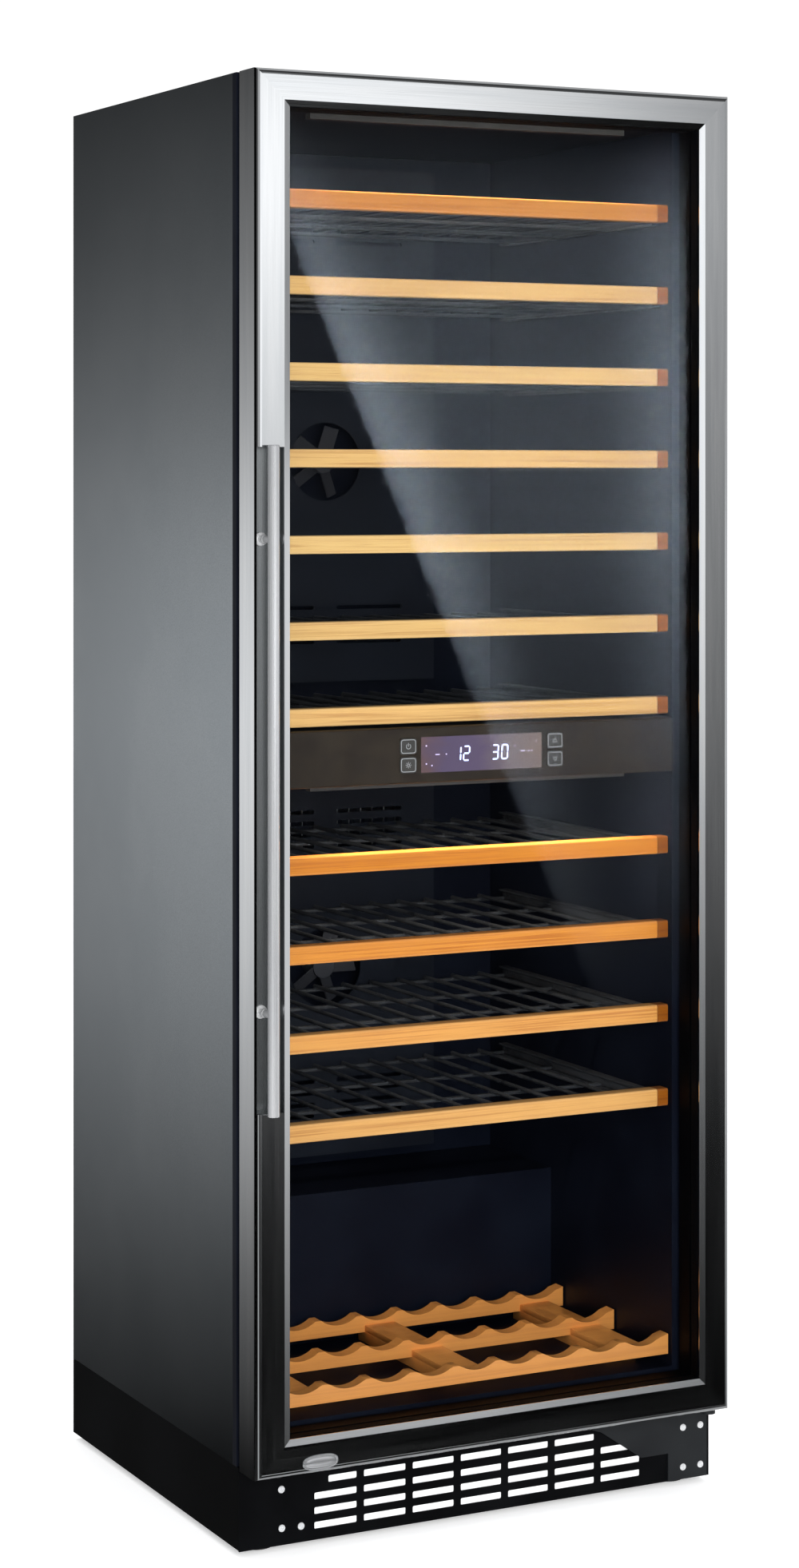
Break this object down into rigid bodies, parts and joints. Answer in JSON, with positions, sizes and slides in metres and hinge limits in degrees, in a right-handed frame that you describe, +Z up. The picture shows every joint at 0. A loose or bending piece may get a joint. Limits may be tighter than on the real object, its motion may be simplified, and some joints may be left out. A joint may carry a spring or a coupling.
{
  "type": "wine cooler",
  "caption": "Tall wine cooler: glazed steel-framed door on right-hand hinges, recessed bar handle, sliding wood-fronted shelves, control panel and slotted plinth.",
  "frame": {"origin": "on the floor under the middle of the overall width and depth", "axes": "+Z up, the door faces -Y, +X to the viewer's right"},
  "size_m": [0.595, 0.5475, 1.597],
  "materials": {
    "door_steel": "fine horizontal and vertical brushing",
    "handle_steel": "polished along the bar",
    "badge_metal": "satin, blank",
    "door_trim": "black moulded",
    "door_glass": "dark tint",
    "spacer_black": "warm-edge spacer",
    "seal": "soft magnetic seal",
    "hinge_steel": "black powder coat",
    "bush_plastic": "bearing nylon",
    "cabinet_metal": "dark grey satin metal",
    "rear_zinc": "dark coated sheet",
    "foot_rubber": "matt",
    "plinth_black": "satin black paint",
    "filter_pad": "pale open fibre",
    "screw_metal": "plated",
    "foam": "rigid foam",
    "liner_plastic": "black vacuum-formed",
    "panel_plastic": "dark panel",
    "display": "smoked, backlit",
    "circuit": "circuit laminate",
    "lamp": "milky diffuser",
    "duct_plastic": "black moulded",
    "evaporator_aluminium": "bare fins",
    "motor_metal": "cast",
    "fan_plastic": "black",
    "runner_metal": "black coat",
    "wood": "clear-lacquered pale hardwood",
    "compressor_black": "gloss black",
    "coil_black": "black coated tube",
    "shroud_plastic": "black",
    "pan_plastic": "grey",
    "inlet_plastic": "black",
    "key_plastic": "dark with a pale rim"
  },
  "bodies": {
    "cabinet": {"side_panel_left": "cabinet_metal", "side_panel_right": "cabinet_metal", "top_panel": "cabinet_metal", "rear_panel": "rear_zinc", "base_tray": "plinth_black", "levelling_feet": "foot_rubber", "kick_grille": "plinth_black", "dust_filter": "filter_pad", "plinth_screws": "screw_metal", "hinge_bracket_top": "hinge_steel", "hinge_bracket_bottom": "hinge_steel", "insulation_foam": "foam", "inner_liner": "liner_plastic", "zone_divider": "liner_plastic", "control_fascia": "panel_plastic", "display_window": "display", "control_board": "circuit", "led_strips": "lamp", "duct_covers": "duct_plastic", "evaporator_coils": "evaporator_aluminium", "fan_motors": "motor_metal", "shelf_runners": "runner_metal", "bottom_rack": "wood", "compressor": "compressor_black", "condenser_coil": "coil_black", "condenser_fan_shroud": "shroud_plastic", "drain_pan": "pan_plastic", "power_inlet": "inlet_plastic"},
    "door": {"door_rail_top": "door_steel", "door_rail_bottom": "door_steel", "door_stile_left": "door_steel", "door_stile_right": "door_steel", "door_inner_frame": "door_trim", "outer_glass": "door_glass", "inner_glass": "door_glass", "glass_spacer": "spacer_black", "door_gasket": "seal", "handle_bar": "handle_steel", "handle_posts": "handle_steel", "handle_pocket": "door_trim", "name_plate": "badge_metal", "hinge_bushes": "bush_plastic"},
    "shelf_01": {"shelf_01": "wood"},
    "shelf_02": {"shelf_02": "wood"},
    "shelf_03": {"shelf_03": "wood"},
    "shelf_04": {"shelf_04": "wood"},
    "shelf_05": {"shelf_05": "wood"},
    "shelf_06": {"shelf_06": "wood"},
    "shelf_07": {"shelf_07": "wood"},
    "shelf_08": {"shelf_08": "wood"},
    "shelf_09": {"shelf_09": "wood"},
    "shelf_10": {"shelf_10": "wood"},
    "shelf_11": {"shelf_11": "wood"},
    "key_power_cap": {"key_power": "key_plastic"},
    "key_light_cap": {"key_light": "key_plastic"},
    "key_up_cap": {"key_up": "key_plastic"},
    "key_down_cap": {"key_down": "key_plastic"},
    "evaporator_fan_upper_rotor": {"evaporator_fan_upper": "fan_plastic"},
    "evaporator_fan_lower_rotor": {"evaporator_fan_lower": "fan_plastic"},
    "condenser_fan_rotor": {"condenser_fan": "fan_plastic"}
  },
  "joints": [
    {"name": "door_hinge", "type": "hinge", "parent": "cabinet", "child": "door", "pos_m": [0.2825, -0.23725, 0.8], "axis": [0, 0, 1], "range_deg": [0, 110]},
    {"name": "shelf_01_slide", "type": "slide", "parent": "cabinet", "child": "shelf_01", "axis": [0, -1, 0], "range_m": [0, 0.02]},
    {"name": "shelf_02_slide", "type": "slide", "parent": "cabinet", "child": "shelf_02", "axis": [0, -1, 0], "range_m": [0, 0.02]},
    {"name": "shelf_03_slide", "type": "slide", "parent": "cabinet", "child": "shelf_03", "axis": [0, -1, 0], "range_m": [0, 0.02]},
    {"name": "shelf_04_slide", "type": "slide", "parent": "cabinet", "child": "shelf_04", "axis": [0, -1, 0], "range_m": [0, 0.02]},
    {"name": "shelf_05_slide", "type": "slide", "parent": "cabinet", "child": "shelf_05", "axis": [0, -1, 0], "range_m": [0, 0.02]},
    {"name": "shelf_06_slide", "type": "slide", "parent": "cabinet", "child": "shelf_06", "axis": [0, -1, 0], "range_m": [0, 0.02]},
    {"name": "shelf_07_slide", "type": "slide", "parent": "cabinet", "child": "shelf_07", "axis": [0, -1, 0], "range_m": [0, 0.02]},
    {"name": "shelf_08_slide", "type": "slide", "parent": "cabinet", "child": "shelf_08", "axis": [0, -1, 0], "range_m": [0, 0.02]},
    {"name": "shelf_09_slide", "type": "slide", "parent": "cabinet", "child": "shelf_09", "axis": [0, -1, 0], "range_m": [0, 0.02]},
    {"name": "shelf_10_slide", "type": "slide", "parent": "cabinet", "child": "shelf_10", "axis": [0, -1, 0], "range_m": [0, 0.02]},
    {"name": "shelf_11_slide", "type": "slide", "parent": "cabinet", "child": "shelf_11", "axis": [0, -1, 0], "range_m": [0, 0.02]},
    {"name": "key_power_press", "type": "slide", "parent": "cabinet", "child": "key_power_cap", "axis": [0, 1, 0], "range_m": [0, 0.0008], "stiffness_N_per_m": 2000},
    {"name": "key_light_press", "type": "slide", "parent": "cabinet", "child": "key_light_cap", "axis": [0, 1, 0], "range_m": [0, 0.0008], "stiffness_N_per_m": 2000},
    {"name": "key_up_press", "type": "slide", "parent": "cabinet", "child": "key_up_cap", "axis": [0, 1, 0], "range_m": [0, 0.0008], "stiffness_N_per_m": 2000},
    {"name": "key_down_press", "type": "slide", "parent": "cabinet", "child": "key_down_cap", "axis": [0, 1, 0], "range_m": [0, 0.0008], "stiffness_N_per_m": 2000},
    {"name": "evaporator_fan_upper_spin", "type": "hinge", "parent": "cabinet", "child": "evaporator_fan_upper_rotor", "pos_m": [0, 0.20025, 1.18], "axis": [0, -1, 0], "continuous": true},
    {"name": "evaporator_fan_lower_spin", "type": "hinge", "parent": "cabinet", "child": "evaporator_fan_lower_rotor", "pos_m": [0, 0.20025, 0.56], "axis": [0, -1, 0], "continuous": true},
    {"name": "condenser_fan_spin", "type": "hinge", "parent": "cabinet", "child": "condenser_fan_rotor", "pos_m": [-0.11, 0.15175, 0.14], "axis": [0, -1, 0], "continuous": true}
  ]
}
